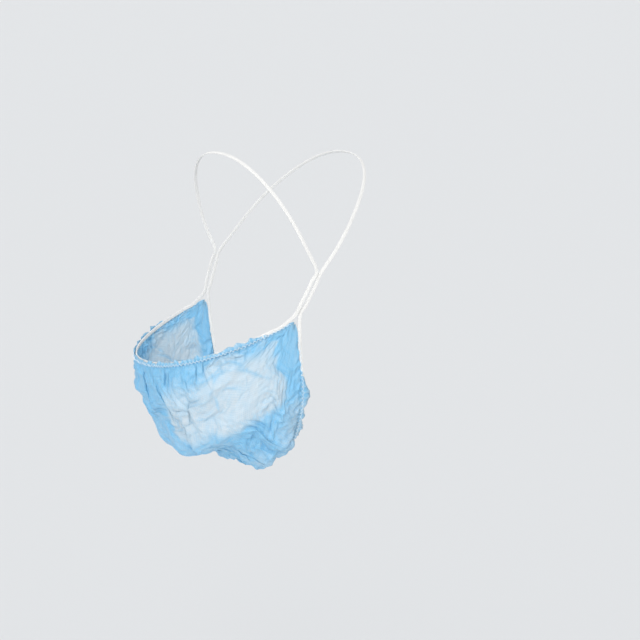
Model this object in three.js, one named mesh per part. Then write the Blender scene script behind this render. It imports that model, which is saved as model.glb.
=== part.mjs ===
// Disposable beard cover, as worn: a bag of thin nonwoven cloth that cups the chin and jaw,
// its two long edges gathered on two elastic rings that run on over the crown of the head.
// Millimetres, +Z up, the wearer faces -Y and their left side is +X.
// The origin is the point inside the bag where the underside of the chin rests.
import * as THREE from "three";

// ---- Driving dimensions ----
const clothThickness = 1.2; // the gathered nonwoven, as a wall
const bandWidth = 2.6; // flat elastic
const bandThickness = 1.0;
const bandGap = 0.35; // clear air between the elastic and the cloth that is gathered on it

// The two bunched ends of the bag lie in front of the ears.
const cornerHalfSpan = 70;
const cornerY = 51;
const cornerZ = 95;

// The two rings run side by side up to the split, then part over the crown.
const splitHalfSpan = 78.5;
const splitY = 65.5;
const splitZ = 130.5;
const crownSquareness = 2.2; // exponent of the rings' arch, 2 being an ellipse
const frontArch = { lean: -26, rise: 88 }; // degrees from upright, and millimetres up the leaning plane
const rearArch = { lean: 40.5, rise: 100.5 };
const tailSpacing = 3.6; // between the centre lines of the two rings beside each other
const tailBow = 0.8; // how far the tails stand out of a straight line
// From a bunched end to where the rings start to run together.
const tailFoot = { out: 1.4, back: 1.5, up: 4.5 };
const partingShare = 0.2; // the share of an arch over which its shift from the tails dies away

// ---- The smooth bag ----
// Fold lines run from one bunched end to the other, like the ribs of a fan. Each row is one fold line,
// from the upper hem to the lower one: its angle below the horizontal at the side and at the middle of the
// face, how far it reaches from the axis through the two ends, and how square its arch is.
const fanRows = [
  { name: "upper hem, under the nose", sideAngle: 23.3, middleAngle: 22.2, reach: 88, squareness: 2.2 },
  { name: "lips", sideAngle: 33, middleAngle: 36, reach: 95, squareness: 2.2 },
  { name: "front of the chin", sideAngle: 46, middleAngle: 50, reach: 102.5, squareness: 2.3 },
  { name: "point of the chin", sideAngle: 58, middleAngle: 62, reach: 112, squareness: 2.5 },
  { name: "under the chin", sideAngle: 72, middleAngle: 74, reach: 106, squareness: 2.9 },
  { name: "under the jaw", sideAngle: 85, middleAngle: 83, reach: 107, squareness: 3.1 },
  { name: "lower hem, at the throat", sideAngle: 98.5, middleAngle: 92, reach: 104, squareness: 2.8 },
];

// ---- Gathers and folds, all of them heights along the outward normal ----
// Shares of the way across start at the nearer hem, and shares of the way around at the nearer end.
// The elastic draws the hems up in gathers, and pleats fan out of each bunched end.
const hemGathers = { count: 22, height: 1.9, rise: 0.06, reach: 0.16, endFade: 0.08 };
const endPleats = { count: 4.5, height: 1.1, rise: 0.06, reach: 0.13, hemFade: 0.1 };
const puff = 1.2; // how far the cloth stands out between its two hems
const foldFade = { end: 0.1, hem: 0.06 }; // where the long folds die away

// Long soft folds. around runs 0 to 1 from the wearer's left end to the right one, across 0 to 1 from the
// upper hem to the lower one; turn is the fold's direction, 0 along the fold line and 90 across it.
const longFolds = [
  { name: "left cheek, high", around: 0.24, across: 0.24, turn: 12, length: 0.2, width: 0.05, height: 2.2 },
  { name: "left cheek, low", around: 0.26, across: 0.42, turn: -8, length: 0.16, width: 0.05, height: -1.8 },
  { name: "left jaw, hanging", around: 0.25, across: 0.84, turn: 78, length: 0.2, width: 0.05, height: 3.4 },
  { name: "left jaw, rear", around: 0.15, across: 0.8, turn: 60, length: 0.16, width: 0.05, height: 2.2 },
  { name: "throat, hanging", around: 0.4, across: 0.87, turn: 0, length: 0.2, width: 0.06, height: 4.5 },
  { name: "throat, left", around: 0.28, across: 0.87, turn: 0, length: 0.16, width: 0.06, height: 3.0 },
  { name: "under the chin", around: 0.44, across: 0.62, turn: 0, length: 0.28, width: 0.08, height: -4.5 },
  { name: "beside the mouth", around: 0.4, across: 0.36, turn: 82, length: 0.2, width: 0.04, height: 2.4 },
  { name: "beside the chin", around: 0.44, across: 0.5, turn: 74, length: 0.18, width: 0.04, height: -1.8 },
  { name: "chin, middle", around: 0.5, across: 0.5, turn: 80, length: 0.16, width: 0.04, height: 2.0 },
  { name: "chin, right", around: 0.585, across: 0.4, turn: 96, length: 0.2, width: 0.04, height: 2.0 },
  { name: "by mouth, high", around: 0.62, across: 0.06, turn: 0, length: 0.14, width: 0.045, height: 2.0 },
  { name: "by mouth, peak", around: 0.62, across: 0.16, turn: 0, length: 0.12, width: 0.035, height: 4.0 },
  { name: "by mouth, low", around: 0.61, across: 0.25, turn: 0, length: 0.12, width: 0.05, height: 1.5 },
  { name: "right cheek, high", around: 0.76, across: 0.22, turn: -10, length: 0.2, width: 0.05, height: 2.2 },
  { name: "right cheek, low", around: 0.75, across: 0.44, turn: 14, length: 0.18, width: 0.05, height: -1.8 },
  { name: "right jaw, hanging", around: 0.75, across: 0.82, turn: 98, length: 0.2, width: 0.05, height: 3.0 },
  { name: "right jaw, rear", around: 0.85, across: 0.78, turn: 120, length: 0.16, width: 0.05, height: 2.2 },
];

// ---- Mesh steps ----
const stationsAround = 100;
const rowsAcross = 24;
const endMargin = 0.006; // the share of the way around left to the bunch itself at each end
const bandSteps = 148; // along each ring
const tinyStep = 1e-3; // for slopes, as a share of the way around or across

const radians = THREE.MathUtils.degToRad;
const clamp01 = (x) => THREE.MathUtils.clamp(x, 0, 1);
const smooth = (x) => THREE.MathUtils.smoothstep(x, 0, 1);

// A column of a table read at a share 0 to 1 of the way down it, along a smooth curve through the rows.
function columnAt(rows, column, share) {
  const last = rows.length - 1;
  const at = clamp01(share) * last;
  const i = Math.min(Math.floor(at), last - 1);
  const [a, b, c, d] = [i - 1, i, i + 1, i + 2].map((k) => rows[THREE.MathUtils.clamp(k, 0, last)][column]);
  const u = at - i;
  return b + 0.5 * u * (c - a + u * (2 * a - 5 * b + 4 * c - d + u * (3 * (b - c) + d - a)));
}

const signedPower = (x, power) => Math.sign(x) * Math.abs(x) ** power;

// The bag with no folds in it.
function bagPoint(around, across) {
  const turn = around * Math.PI;
  const rise = Math.sin(turn);
  const power = 2 / columnAt(fanRows, "squareness", across);
  const side = columnAt(fanRows, "sideAngle", across);
  const middle = columnAt(fanRows, "middleAngle", across);
  const angle = radians(side + (middle - side) * rise * rise);
  const reach = columnAt(fanRows, "reach", across) * rise ** power;
  return new THREE.Vector3(
    cornerHalfSpan * signedPower(Math.cos(turn), power),
    cornerY - reach * Math.cos(angle),
    cornerZ - reach * Math.sin(angle),
  );
}

// The outward normal of a surface given as pointAt(around, across).
function normalOf(pointAt, around, across) {
  const lowA = Math.max(around - tinyStep, tinyStep);
  const highA = Math.min(around + tinyStep, 1 - tinyStep);
  const lowB = Math.max(across - tinyStep, 0);
  const highB = Math.min(across + tinyStep, 1);
  const along = pointAt(highA, across).sub(pointAt(lowA, across));
  const down = pointAt(around, highB).sub(pointAt(around, lowB));
  return along.cross(down).normalize();
}

// One long soft fold: a ridge, or a valley if its height is negative.
function foldHeight(fold, around, across) {
  const angle = radians(fold.turn);
  const a = (around - fold.around) * 2;
  const b = across - fold.across;
  const along = (a * Math.cos(angle) + b * Math.sin(angle)) / fold.length;
  const aside = (b * Math.cos(angle) - a * Math.sin(angle)) / fold.width;
  return fold.height * Math.exp(-(along * along) - aside * aside);
}

function gatherHeight(around, across) {
  const fromEnd = Math.min(around, 1 - around);
  const fromHem = Math.min(across, 1 - across);
  const nearHem = smooth(fromHem / hemGathers.rise) * Math.exp(-((fromHem / hemGathers.reach) ** 2));
  const gather = Math.cos(around * hemGathers.count * 2 * Math.PI) * smooth(fromEnd / hemGathers.endFade);
  const nearEnd = smooth(fromEnd / endPleats.rise) * Math.exp(-((fromEnd / endPleats.reach) ** 2));
  const pleat = Math.sin(across * endPleats.count * 2 * Math.PI) * smooth(fromHem / endPleats.hemFade);
  return hemGathers.height * nearHem * gather + endPleats.height * nearEnd * pleat;
}

// How far the cloth stands off the smooth bag. Every hem lies flat under its elastic.
function clothHeight(around, across) {
  const fromEnd = Math.min(around, 1 - around);
  const fromHem = Math.min(across, 1 - across);
  const free = smooth(fromEnd / foldFade.end) * smooth(fromHem / foldFade.hem);
  const folds = longFolds.reduce((sum, fold) => sum + foldHeight(fold, around, across), 0);
  return gatherHeight(around, across) + free * (folds + puff);
}

function clothPoint(around, across) {
  const normal = normalOf(bagPoint, around, across);
  return bagPoint(around, across).addScaledVector(normal, clothHeight(around, across));
}

// A closed mesh from rings of points: every ring has as many points, and each joins the next one.
// A closed loop joins the last ring to the first, and an open one gets a flat cap at each end.
function ringsGeometry(rings, closedLoop) {
  const sides = rings[0].length;
  const count = rings.length;
  const triangles = [];
  for (let i = 0; i < (closedLoop ? count : count - 1); i++) {
    for (let k = 0; k < sides; k++) {
      const a = i * sides + k;
      const b = i * sides + ((k + 1) % sides);
      const c = ((i + 1) % count) * sides + k;
      const d = ((i + 1) % count) * sides + ((k + 1) % sides);
      triangles.push(a, b, d, a, d, c);
    }
  }
  const geometry = new THREE.BufferGeometry();
  const positions = rings.flat().flatMap((p) => p.toArray());
  geometry.setAttribute("position", new THREE.Float32BufferAttribute(positions, 3));
  if (!closedLoop) {
    for (let k = 0; k < sides / 2 - 1; k++) {
      const [a, b, c, d] = [k, k + 1, sides - 2 - k, sides - 1 - k];
      const far = (count - 1) * sides;
      triangles.push(a, c, b, a, d, c);
      triangles.push(far + a, far + b, far + c, far + a, far + c, far + d);
    }
  }
  geometry.setIndex(triangles);
  geometry.computeVertexNormals();
  return geometry;
}

// The bag's wall: each ring is one station's section, down its inner face and back up its outer one.
function clothGeometry() {
  const rings = [];
  for (let i = 0; i < stationsAround; i++) {
    const around = endMargin + ((1 - 2 * endMargin) * i) / (stationsAround - 1);
    const inner = [];
    const outer = [];
    for (let k = 0; k < rowsAcross; k++) {
      const across = k / (rowsAcross - 1);
      const centre = clothPoint(around, across);
      const atHem = k === 0 || k === rowsAcross - 1;
      const half = normalOf(atHem ? bagPoint : clothPoint, around, across).multiplyScalar(clothThickness / 2);
      inner.push(centre.clone().sub(half));
      outer.unshift(centre.clone().add(half));
    }
    rings.push([...inner, ...outer]);
  }
  return ringsGeometry(rings, false);
}

// ---- The elastic rings ----
// A ring's route is a list of stations, each with a point and the way the band's flat side faces.

// Beside a hem the band runs just past the cloth's edge, in line with the cloth.
function hemStation(around, across) {
  const edge = bagPoint(around, across);
  const along = bagPoint(around - tinyStep, across).sub(edge);
  const out = normalOf(bagPoint, around, across);
  const beyond = out.clone().cross(along).normalize();
  const offset = bandGap + bandWidth / 2;
  return { point: edge.addScaledVector(beyond, across === 0 ? offset : -offset), out };
}

const headMiddle = new THREE.Vector3(0, 72, 108);
const onHead = (point) => ({ point, out: point.clone().sub(headMiddle).normalize() });

// The two rings lie side by side up to the split: side is -1 for the front one and 1 for the rear one.
const tailStart = new THREE.Vector3(
  cornerHalfSpan + tailFoot.out,
  cornerY + tailFoot.back,
  cornerZ + tailFoot.up,
);
const tailEnd = new THREE.Vector3(splitHalfSpan, splitY, splitZ);
const besideTail = new THREE.Vector3(0, tailEnd.z - tailStart.z, tailStart.y - tailEnd.y).normalize();

function tailStation(share, side) {
  const point = tailStart.clone().lerp(tailEnd, share);
  point.x += tailBow * Math.sin(share * Math.PI);
  return onHead(point.addScaledVector(besideTail, (side * tailSpacing) / 2));
}

// A station on a ring's arch: turn runs 0 to 0.5 from the left split to the middle of the crown.
function archStation(arch, turn, side) {
  const power = 2 / crownSquareness;
  const rise = arch.rise * Math.sin(turn * Math.PI) ** power;
  const lean = radians(arch.lean);
  const point = new THREE.Vector3(
    splitHalfSpan * Math.cos(turn * Math.PI) ** power,
    splitY + rise * Math.sin(lean),
    splitZ + rise * Math.cos(lean),
  );
  const shift = (1 - smooth(turn / partingShare)) * side * (tailSpacing / 2);
  return onHead(point.addScaledVector(besideTail, shift));
}

// Evenly spaced numbers from one value to another, both included.
const spread = (from, to, count) =>
  Array.from({ length: count }, (_, i) => from + ((to - from) * i) / (count - 1));
const hemTurns = spread(0.5, 0.03, 22);
const tailShares = spread(0, 0.75, 4);
const archTurns = spread(0, 0.5, 11);

const mirrored = ({ point, out }) => ({
  point: new THREE.Vector3(-point.x, point.y, point.z),
  out: new THREE.Vector3(-out.x, out.y, out.z),
});

function ringBand(hem, arch, side) {
  const left = [
    ...hemTurns.map((around) => hemStation(around, hem)),
    ...tailShares.map((share) => tailStation(share, side)),
    ...archTurns.map((turn) => archStation(arch, turn, side)),
  ];
  const stations = [...left, ...left.slice(1, -1).reverse().map(mirrored)];
  const centreLine = new THREE.CatmullRomCurve3(stations.map((s) => s.point), true);
  const facing = new THREE.CatmullRomCurve3(stations.map((s) => s.out), true);
  const corners = [
    [1, -1],
    [-1, -1],
    [-1, 1],
    [1, 1],
  ];
  const rings = [];
  for (let i = 0; i < bandSteps; i++) {
    const share = centreLine.getUtoTmapping(i / bandSteps);
    const middle = centreLine.getPoint(share);
    const along = centreLine.getTangent(share);
    const wide = along.clone().cross(facing.getPoint(share)).normalize();
    const thick = wide.clone().cross(along);
    const section = corners.map(([w, t]) =>
      middle
        .clone()
        .addScaledVector(wide, (w * bandWidth) / 2)
        .addScaledVector(thick, (t * bandThickness) / 2),
    );
    rings.push(section);
  }
  return ringsGeometry(rings, true);
}

function piece(name, geometry, colour, roughness) {
  const material = new THREE.MeshStandardMaterial({ color: colour, roughness, metalness: 0 });
  const mesh = new THREE.Mesh(geometry, material);
  mesh.name = name;
  return mesh;
}

const beardCover = new THREE.Group();
beardCover.add(piece("cloth_bag", clothGeometry(), 0x9cc9ea, 0.85));
beardCover.add(piece("front_elastic_ring", ringBand(0, frontArch, -1), 0xf3f2ee, 0.7));
beardCover.add(piece("rear_elastic_ring", ringBand(1, rearArch, 1), 0xf3f2ee, 0.7));

export default beardCover;
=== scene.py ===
"""Disposable beard cover, as worn: a crinkled nonwoven bag on two ribbed elastic rings, and its studio."""

import math

import bmesh
import bpy
import numpy as np
from bpy.props import FloatProperty, FloatVectorProperty, PointerProperty
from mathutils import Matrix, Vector


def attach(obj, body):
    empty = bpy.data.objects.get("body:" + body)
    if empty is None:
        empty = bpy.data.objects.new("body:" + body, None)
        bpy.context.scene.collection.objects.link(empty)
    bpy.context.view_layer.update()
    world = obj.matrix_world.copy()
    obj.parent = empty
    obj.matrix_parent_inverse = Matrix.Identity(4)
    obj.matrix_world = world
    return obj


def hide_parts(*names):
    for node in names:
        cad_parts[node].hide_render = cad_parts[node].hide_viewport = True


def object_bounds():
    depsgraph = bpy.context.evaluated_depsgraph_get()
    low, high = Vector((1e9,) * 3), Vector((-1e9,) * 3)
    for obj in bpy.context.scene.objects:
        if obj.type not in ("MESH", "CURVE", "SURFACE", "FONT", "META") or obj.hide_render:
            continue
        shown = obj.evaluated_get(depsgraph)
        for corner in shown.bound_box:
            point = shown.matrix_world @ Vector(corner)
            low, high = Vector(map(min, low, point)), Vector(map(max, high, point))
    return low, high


bl_info = {
    "name": "Disposable Beard Cover",
    "version": (1, 0, 0),
    "blender": (4, 5, 0),
    "location": "View3D > Sidebar > Beard Cover",
    "description": "Makes a nonwoven beard cover with its elastic rings, hem stitches and studio",
    "category": "Add Mesh",
}

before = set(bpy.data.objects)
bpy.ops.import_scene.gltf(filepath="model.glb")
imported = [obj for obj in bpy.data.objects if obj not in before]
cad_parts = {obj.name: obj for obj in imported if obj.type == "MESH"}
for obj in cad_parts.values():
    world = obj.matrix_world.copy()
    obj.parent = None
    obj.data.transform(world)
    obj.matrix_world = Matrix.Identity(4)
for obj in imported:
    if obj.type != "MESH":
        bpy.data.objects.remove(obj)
cad_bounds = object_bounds()

MM = 0.001  # the shapes below are worked out in millimetres
TINY = 1e-9  # keeps a division by a length of nothing from failing

# ---- The form of the bag and the rings, as in the solid model: millimetres and degrees ----
BUNCH_HALF_SPAN = 70.0  # the bag's two bunched ends, in front of the ears
BUNCH_Y = 51.0
BUNCH_Z = 95.0
SPLIT_HALF_SPAN = 78.5  # where the two elastics part, above each ear
SPLIT_Y = 65.5
SPLIT_Z = 130.5
ARCH_SQUARENESS = 2.2
FRONT_ARCH = {"lean": -26.0, "rise": 88.0}  # over the crown: how far back the elastic leans, and its height
REAR_ARCH = {"lean": 40.5, "rise": 100.5}
BAND_WIDTH = 2.6
BAND_THICKNESS = 1.0
BAND_GAP = 0.35  # from the cloth's edge to the elastic
TAIL_SPACING = 4.0  # wider than in the solids, as these smoother bands swing nearer where they part
TAIL_BOW = 0.8
TAIL_FOOT = {"out": 1.4, "back": 1.5, "up": 4.5}
PARTING_SHARE = 0.2

# Fold lines of the smooth bag from the upper hem to the lower one: degrees below the horizontal at the
# side and at the middle of the face, millimetres from the axis through the two bunched ends, squareness.
FAN_COLUMNS = ("side_angle", "middle_angle", "reach", "squareness")
FAN_ROWS = np.array(
    [
        (23.3, 22.2, 88.0, 2.2),
        (33.0, 36.0, 95.0, 2.2),
        (46.0, 50.0, 102.5, 2.3),
        (58.0, 62.0, 112.0, 2.5),
        (72.0, 74.0, 106.0, 2.9),
        (85.0, 83.0, 107.0, 3.1),
        (98.5, 92.0, 104.0, 2.8),
    ]
)

# Long soft folds: place round and across as shares, degrees turned from the way round, length and width
# as shares of the way across, height in millimetres.
FOLD_ROWS = np.array(
    [
        (0.24, 0.24, 12, 0.20, 0.050, 2.2),
        (0.26, 0.42, -8, 0.16, 0.050, -1.8),
        (0.25, 0.84, 78, 0.20, 0.050, 3.4),
        (0.15, 0.80, 60, 0.16, 0.050, 2.2),
        (0.40, 0.87, 0, 0.20, 0.060, 4.5),
        (0.28, 0.87, 0, 0.16, 0.060, 3.0),
        (0.44, 0.62, 0, 0.28, 0.080, -4.5),
        (0.38, 0.56, 0, 0.12, 0.070, -3.0),
        (0.29, 0.94, 0, 0.12, 0.050, 4.0),
        (0.40, 0.36, 82, 0.20, 0.040, 2.4),
        (0.44, 0.50, 74, 0.18, 0.040, -1.8),
        (0.50, 0.50, 80, 0.16, 0.040, 2.0),
        (0.585, 0.40, 96, 0.20, 0.040, 2.0),
        (0.62, 0.06, 0, 0.14, 0.045, 2.0),
        (0.62, 0.16, 0, 0.12, 0.035, 4.0),
        (0.61, 0.25, 0, 0.12, 0.050, 1.5),
        (0.76, 0.22, -10, 0.20, 0.050, 2.2),
        (0.75, 0.44, 14, 0.18, 0.050, -1.8),
        (0.75, 0.82, 98, 0.20, 0.050, 3.0),
        (0.85, 0.78, 120, 0.16, 0.050, 2.2),
    ]
)
FOLD_FADE = {"end": 0.1, "hem": 0.06}  # shares over which the folds die out towards the ends and the hems
FOLD_ROUND_SCALE = 2  # a share round counts as twice the same share across
PUFF = -0.3  # height of the cloth between the folds

# Fine creases pressed into the cloth over the cheek: where each starts, bends and ends, as shares round
# and across, and its height in millimetres.
CREASE_ROWS = (
    (0.29, 0.13, 0.245, 0.15, 0.205, 0.11, 0.8),
    (0.205, 0.11, 0.17, 0.13, 0.14, 0.27, 0.9),
    (0.25, 0.26, 0.22, 0.16, 0.18, 0.19, 0.7),
    (0.18, 0.19, 0.135, 0.31, 0.085, 0.60, 0.9),
    (0.23, 0.27, 0.205, 0.29, 0.175, 0.37, 0.6),
    (0.25, 0.27, 0.252, 0.32, 0.26, 0.38, 0.9),
    (0.34, 0.33, 0.30, 0.37, 0.24, 0.46, 0.9),
)
CREASE_WIDTH = 1.1
CREASE_STEPS = 40  # points along each crease
CREASE_TAPER = 0.03  # share of its fading that is left off at each end of a crease
CREASE_VALLEY = {"width": 2.6, "depth": 0.5}  # the hollow round each crease, against its width and height
FAR_SIDE_SHIFT = {"round": 0.02, "across": 0.03}  # the other cheek creases alike, but not the same

# The pale part of each side, where one layer of cloth is drawn tight: share round, and the shares across
# of its top and its bottom.
PALE_ROWS = np.array(
    [
        (0.035, 0.50, 0.52),
        (0.050, 0.30, 0.72),
        (0.065, 0.06, 0.78),
        (0.095, 0.05, 0.82),
        (0.110, 0.15, 0.81),
        (0.145, 0.15, 0.73),
        (0.170, 0.05, 0.68),
        (0.230, 0.03, 0.60),
        (0.260, 0.11, 0.55),
        (0.310, 0.11, 0.49),
        (0.390, 0.11, 0.44),
        (0.430, 0.15, 0.40),
        (0.465, 0.24, 0.34),
        (0.480, 0.31, 0.31),
    ]
)
PALE_EDGE = 0.11  # share across over which it fades at its top and bottom
PALE_ENDS = {"ear": 0.02, "chin": 0.04}  # shares round over which it fades at its two ends
PALE_WOBBLE = {"share": 0.012, "cells": (22, 9)}
FAR_SIDE_STRETCH = 1.25  # on the far side the pale part stays further from the middle
# How blue the pale part stays under the upper hem, least at one place round, and how far down it does.
UPPER_HEM_TINT = {"most": 0.45, "least": 0.1, "least_at": 0.21, "over": 0.08}
UPPER_HEM_TINT_FADE = {"from": 0.12, "over": 0.2}
# Patches where the cloth is bluer or paler, as more or fewer layers: place round and across, size round and
# across, and how much more. The paler ones across 0.85 and more are painted light on the bag's shaded
# underside.
LAYER_AND_LIGHT_PATCHES = (
    (0.080, 0.19, 0.030, 0.09, 0.50),
    (0.060, 0.40, 0.020, 0.20, 0.30),
    (0.300, 0.10, 0.050, 0.07, 0.15),
    (0.250, 0.96, 0.120, 0.09, -0.50),
    (0.370, 0.86, 0.040, 0.07, -0.50),
    (0.150, 0.94, 0.040, 0.08, -0.20),
    (0.030, 0.50, 0.030, 0.50, 0.25),
    (0.090, 0.92, 0.050, 0.10, 0.30),
    (0.260, 0.67, 0.060, 0.10, 0.25),
    (0.400, 0.04, 0.080, 0.05, 0.20),
    (0.500, 0.12, 0.060, 0.12, 0.25),
    (0.100, 0.13, 0.030, 0.08, 0.28),
    (0.410, 0.18, 0.060, 0.09, -0.22),
    (0.380, 0.43, 0.050, 0.04, 0.25),
    (0.410, 0.57, 0.050, 0.08, -0.28),
    (0.210, 0.92, 0.060, 0.06, -0.28),
    (0.145, 0.16, 0.030, 0.06, 0.20),
)
MOST_LAYERS = 1.4  # and the most that counts
CREASE_SHADE = 0.55  # painted shade: how much more cloth a pressed crease counts as, so that it shows darker
FOLD_SHADE = 0.35  # and a sharp fold, painted shade as well
SHARP_FOLD = {"from": 0.12, "over": 0.7}  # millimetres, twice what a point stands off those beside it

# Where the cloth is drawn tight, as shares across and round. Over the chin it is looser.
DRAWN = {"top": 0.10, "top_over": 0.10, "bottom": 0.68, "bottom_over": 0.14, "end": 0.05, "end_over": 0.06}
CHIN = {"looser": 0.35, "from": 0.27, "over": 0.06}

# Seeds of the random draws. Some count on from theirs: by stage, by hem or by end.
SEEDS = {
    "rough_start": 4,
    "facets": 4,
    "pale_edge": 7,
    "ruffles": 11,
    "ragged_hem": 15,
    "wander_round": 25,
    "wander_across": 26,
    "crumples": 35,
    "papery_facets": 45,
    "puckers": 55,
}


def srgb(hex_value, alpha=1.0):
    """A hex colour as the linear numbers that shaders read."""
    channels = [int(hex_value[i : i + 2], 16) / 255 for i in (1, 3, 5)]
    linear = [c / 12.92 if c <= 0.04045 else ((c + 0.055) / 1.055) ** 2.4 for c in channels]
    return (*linear, alpha)


def smooth(x):
    """A smooth step from 0 to 1."""
    x = np.clip(x, 0.0, 1.0)
    return x * x * (3 - 2 * x)


def smooth_curve(a, b, c, d, u):
    """A value between b and c, at share u, on a smooth curve that runs through all four."""
    return b + 0.5 * u * (c - a + u * (2 * a - 5 * b + 4 * c - d + u * (3 * (b - c) + d - a)))


def unit(v):
    """Vectors with the same directions and a length of 1."""
    return v / (np.linalg.norm(v, axis=-1, keepdims=True) + TINY)


# ---- Settings ----
class BEARD_PG_bag(bpy.types.PropertyGroup):
    cut_length: FloatProperty(
        name="Cut length",
        description="Length that a thread round the bag has where none of its slack is taken up",
        default=0.355,
        unit="LENGTH",
    )
    cut_width: FloatProperty(
        name="Cut width",
        description="Length that a thread from seam to seam has where none of its slack is taken up",
        default=0.150,
        unit="LENGTH",
    )
    thickness: FloatProperty(
        name="Cloth thickness",
        description="Thickness of the nonwoven sheet",
        default=0.00015,
        unit="LENGTH",
    )
    taut_colour: FloatVectorProperty(
        name="Taut colour",
        description="Colour of one layer of cloth, drawn over the chin and cheeks",
        subtype="COLOR",
        size=4,
        default=srgb("#D8E1E6"),
    )
    bunched_colour: FloatVectorProperty(
        name="Bunched colour",
        description="Colour where the cloth is gathered and lies in several layers",
        subtype="COLOR",
        size=4,
        default=srgb("#96D0EC"),
    )


class BEARD_PG_elastic(bpy.types.PropertyGroup):
    rib_pitch: FloatProperty(
        name="Rib pitch",
        description="Distance between the fine ribs across the elastic",
        default=0.0009,
        unit="LENGTH",
    )
    colour: FloatVectorProperty(
        name="Elastic colour",
        description="Colour of the covered elastic",
        subtype="COLOR",
        size=4,
        default=srgb("#E3E2DF"),
    )


class BEARD_PG_stitches(bpy.types.PropertyGroup):
    pitch: FloatProperty(
        name="Stitch pitch",
        description="Distance between stitches along the hem",
        default=0.0031,
        unit="LENGTH",
    )
    thread: FloatProperty(
        name="Thread diameter",
        description="Diameter of the sewing thread",
        default=0.00028,
        unit="LENGTH",
    )


class BEARD_PG_stage(bpy.types.PropertyGroup):
    floor_drop: FloatProperty(
        name="Floor drop",
        description="How far the floor lies below the part",
        default=0.25,
        unit="LENGTH",
    )
    floor_radius: FloatProperty(
        name="Floor radius",
        description="Radius of the floor",
        default=60.0,
        unit="LENGTH",
    )
    backdrop: FloatVectorProperty(
        name="Backdrop colour",
        description="Colour of the floor",
        subtype="COLOR",
        size=4,
        default=srgb("#D8D9DA"),
    )
    air_light: FloatProperty(
        name="Air light",
        description="Strength of the even light from all round",
        default=0.86,
    )
    key_light: FloatProperty(
        name="Key light",
        description="Strength of the soft light from the front",
        default=1.75,
    )
    fill_light: FloatProperty(
        name="Fill light",
        description="Strength of the soft light from the side",
        default=1.2,
    )
    bounce_light: FloatProperty(
        name="Bounce light",
        description="Watts of the soft light thrown back up from below",
        default=0.75,
    )


# ---- The smooth bag and its long folds ----
def fan_column(name, share):
    """A column of the fan table at a share 0 to 1 of the way down it, along a smooth curve."""
    table = FAN_ROWS[:, FAN_COLUMNS.index(name)]
    last = len(table) - 1
    at = np.clip(share, 0, 1) * last
    i = np.minimum(np.floor(at).astype(int), last - 1)
    a, b, c, d = (table[np.clip(i + k, 0, last)] for k in (-1, 0, 1, 2))
    return smooth_curve(a, b, c, d, at - i)


def smooth_bag(around, across):
    """Points of the bag with no folds in it. around and across run 0 to 1."""
    turn = around * np.pi
    rise, swing = np.sin(turn), np.cos(turn)
    power = 2 / fan_column("squareness", across)
    side, middle = fan_column("side_angle", across), fan_column("middle_angle", across)
    angle = np.radians(side + (middle - side) * rise**2)
    reach = fan_column("reach", across) * np.abs(rise) ** power
    x = BUNCH_HALF_SPAN * np.sign(swing) * np.abs(swing) ** power
    return np.stack([x, BUNCH_Y - reach * np.cos(angle), BUNCH_Z - reach * np.sin(angle)], -1)


def sheet_normals(points):
    """Outward normals of a grid of points, whose first axis runs round the face and second down it."""
    return unit(np.cross(np.gradient(points, axis=0), np.gradient(points, axis=1)))


def end_share(around):
    """The share round to the nearer end."""
    return np.minimum(around, 1 - around)


def hem_share(across):
    """The share across to the nearer hem."""
    return np.minimum(across, 1 - across)


def long_bump(around, across, place, down, angle, length, width, round_scale):
    """A smooth long bump, 1 at its middle, turned by an angle from the way round."""
    a, b = (around - place) * round_scale, across - down
    along = (a * math.cos(angle) + b * math.sin(angle)) / length
    aside = (b * math.cos(angle) - a * math.sin(angle)) / width
    return np.exp(-(along**2) - aside**2)


def fold_heights(around, across):
    """How far the long folds stand off the smooth bag, in millimetres."""
    total = np.full(around.shape, PUFF)
    for place, down, turn, length, width, height in FOLD_ROWS:
        angle = math.radians(turn)
        total += height * long_bump(around, across, place, down, angle, length, width, FOLD_ROUND_SCALE)
    return total * smooth(end_share(around) / FOLD_FADE["end"]) * smooth(hem_share(across) / FOLD_FADE["hem"])


def lumps(shape, seed, cells):
    """Smooth random lumps on a grid, about one for each cell."""
    heights = np.random.default_rng(seed).standard_normal((cells[0] + 3, cells[1] + 3))
    u, v = (np.linspace(0, n, m) for n, m in zip(cells, shape))
    i, j = np.floor(u).astype(int), np.floor(v).astype(int)
    fu, fv = smooth(u - i)[:, None], smooth(v - j)[None]
    near = heights[i][:, j] * (1 - fu) + heights[i + 1][:, j] * fu
    far = heights[i][:, j + 1] * (1 - fu) + heights[i + 1][:, j + 1] * fu
    return near * (1 - fv) + far * fv


def finer(field, shape):
    """A grid of values resampled along smooth curves to a finer grid."""
    for axis in (0, 1):
        field = np.moveaxis(field, axis, 0)
        last = len(field) - 1
        at = np.linspace(0, last, shape[axis])
        i = np.clip(np.floor(at).astype(int), 0, last - 1)
        a, b, c, d = (field[np.clip(i + k, 0, last)] for k in (-1, 0, 1, 2))
        field = smooth_curve(a, b, c, d, (at - i).reshape(-1, *[1] * (field.ndim - 1)))
        field = np.moveaxis(field, 0, axis)
    return field


# ---- The drape: cloth as a net of threads that keep their length ----
SHEAR_STRENGTH = 0.9
BEND_STRENGTH = 0.25
SHARPEST_BEND = 0.55  # ends of two threads come no nearer than this share of their length


def draw_together(points, loose, first, second, length, strength, only_push=False):
    """Moves each pair of points towards its thread's length. loose is 0 where a point is held."""
    gap = points[second] - points[first]
    now = np.sqrt((gap * gap).sum(-1)) + TINY
    excess = now - length
    if only_push:
        excess = np.minimum(excess, 0)
    share = loose[first] + loose[second] + TINY
    step = (strength * excess / now / share)[..., None] * gap
    points[first] += step * loose[first][..., None]
    points[second] -= step * loose[second][..., None]


def cell_sides(around, down):
    """Lengths of each cell of the net, round and down, from those of its threads."""
    return (around[:, :-1] + around[:, 1:]) / 2, (down[:-1] + down[1:]) / 2


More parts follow.
